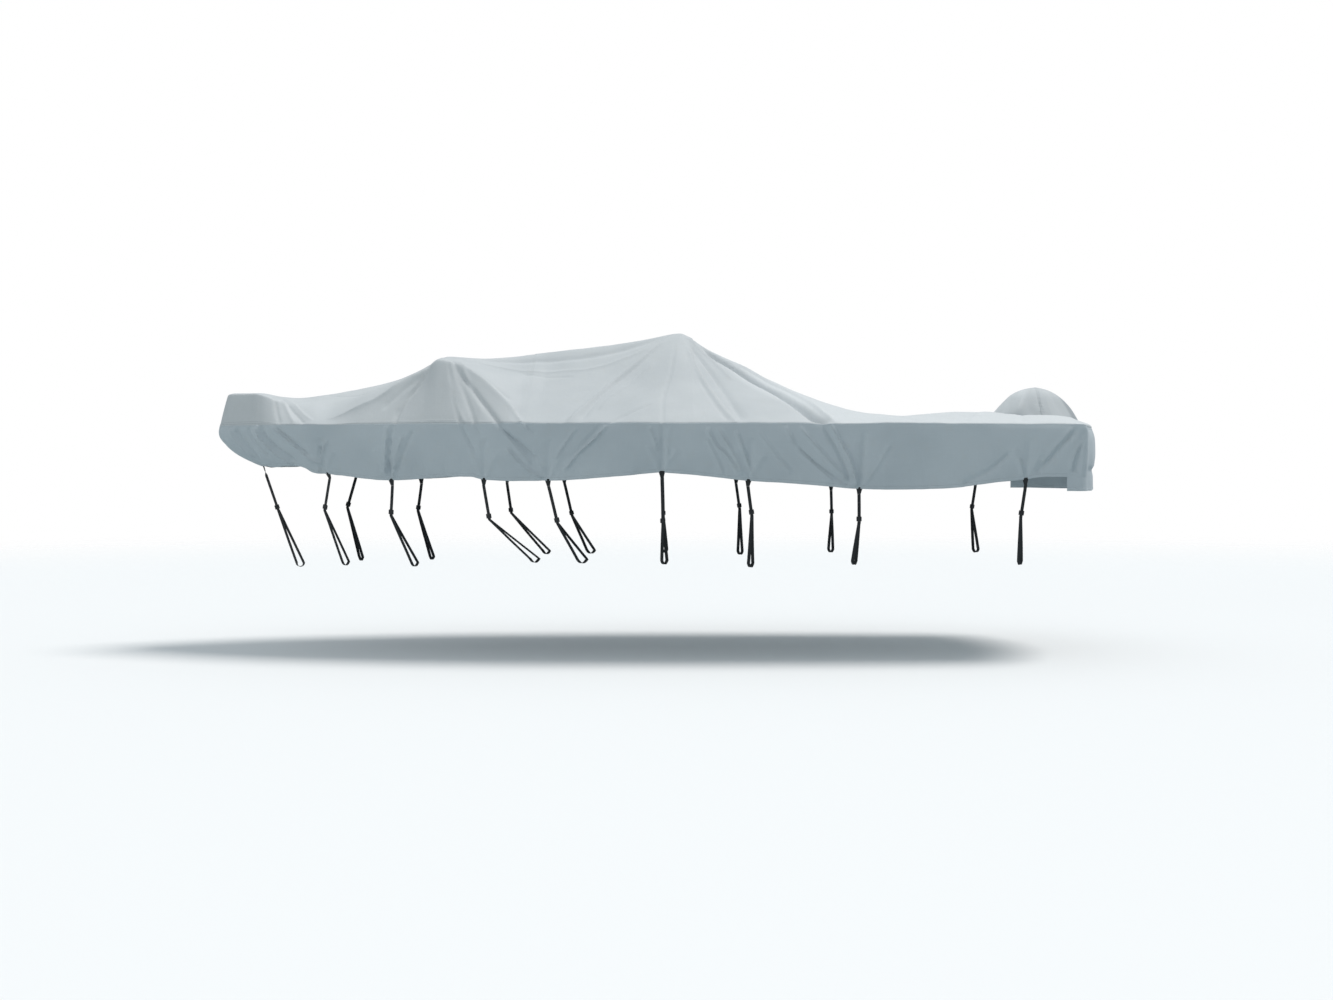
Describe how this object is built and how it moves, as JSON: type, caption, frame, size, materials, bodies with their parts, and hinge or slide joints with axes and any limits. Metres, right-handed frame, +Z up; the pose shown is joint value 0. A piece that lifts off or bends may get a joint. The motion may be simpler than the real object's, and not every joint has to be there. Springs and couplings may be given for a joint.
{
  "type": "boat cover",
  "caption": "Fitted cloth cover draped over an open motor boat on its trailer, with skirts, a domed motor hood and buckled web straps round the hem.",
  "frame": {"origin": "underside of the cloth on the centreline where the tallest support under the cover holds it up", "axes": "+X towards the stern along the keel line, +Y towards starboard, +Z up"},
  "size_m": [7.2987, 2.4052, 1.9616],
  "materials": {
    "cover_cloth": "matt woven polyester, light grey",
    "webbing": "matt black woven webbing",
    "buckle_plastic": "moulded black plastic"
  },
  "bodies": {
    "root": {"deck_panel": "cover_cloth", "port_skirt": "cover_cloth", "starboard_skirt": "cover_cloth", "transom_skirt": "cover_cloth", "motor_hood": "cover_cloth", "hem_loop_bow": "webbing", "hem_loop_port_1": "webbing", "hem_loop_port_2": "webbing", "hem_loop_port_3": "webbing", "hem_loop_port_4": "webbing", "hem_loop_port_5": "webbing", "hem_loop_port_6": "webbing", "hem_loop_port_7": "webbing", "hem_loop_port_8": "webbing", "hem_loop_starboard_1": "webbing", "hem_loop_starboard_2": "webbing", "hem_loop_starboard_3": "webbing", "hem_loop_starboard_4": "webbing", "hem_loop_starboard_5": "webbing", "hem_loop_starboard_6": "webbing", "hem_loop_starboard_7": "webbing", "hem_loop_starboard_8": "webbing", "strap_bow": "webbing", "strap_port_1": "webbing", "strap_port_2": "webbing", "strap_port_3": "webbing", "strap_port_4": "webbing", "strap_port_5": "webbing", "strap_port_6": "webbing", "strap_port_7": "webbing", "strap_port_8": "webbing", "strap_starboard_1": "webbing", "strap_starboard_2": "webbing", "strap_starboard_3": "webbing", "strap_starboard_4": "webbing", "strap_starboard_5": "webbing", "strap_starboard_6": "webbing", "strap_starboard_7": "webbing", "strap_starboard_8": "webbing", "buckle_bow": "buckle_plastic", "buckle_port_1": "buckle_plastic", "buckle_port_2": "buckle_plastic", "buckle_port_3": "buckle_plastic", "buckle_port_4": "buckle_plastic", "buckle_port_5": "buckle_plastic", "buckle_port_6": "buckle_plastic", "buckle_port_7": "buckle_plastic", "buckle_port_8": "buckle_plastic", "buckle_starboard_1": "buckle_plastic", "buckle_starboard_2": "buckle_plastic", "buckle_starboard_3": "buckle_plastic", "buckle_starboard_4": "buckle_plastic", "buckle_starboard_5": "buckle_plastic", "buckle_starboard_6": "buckle_plastic", "buckle_starboard_7": "buckle_plastic", "buckle_starboard_8": "buckle_plastic"}
  },
  "joints": []
}
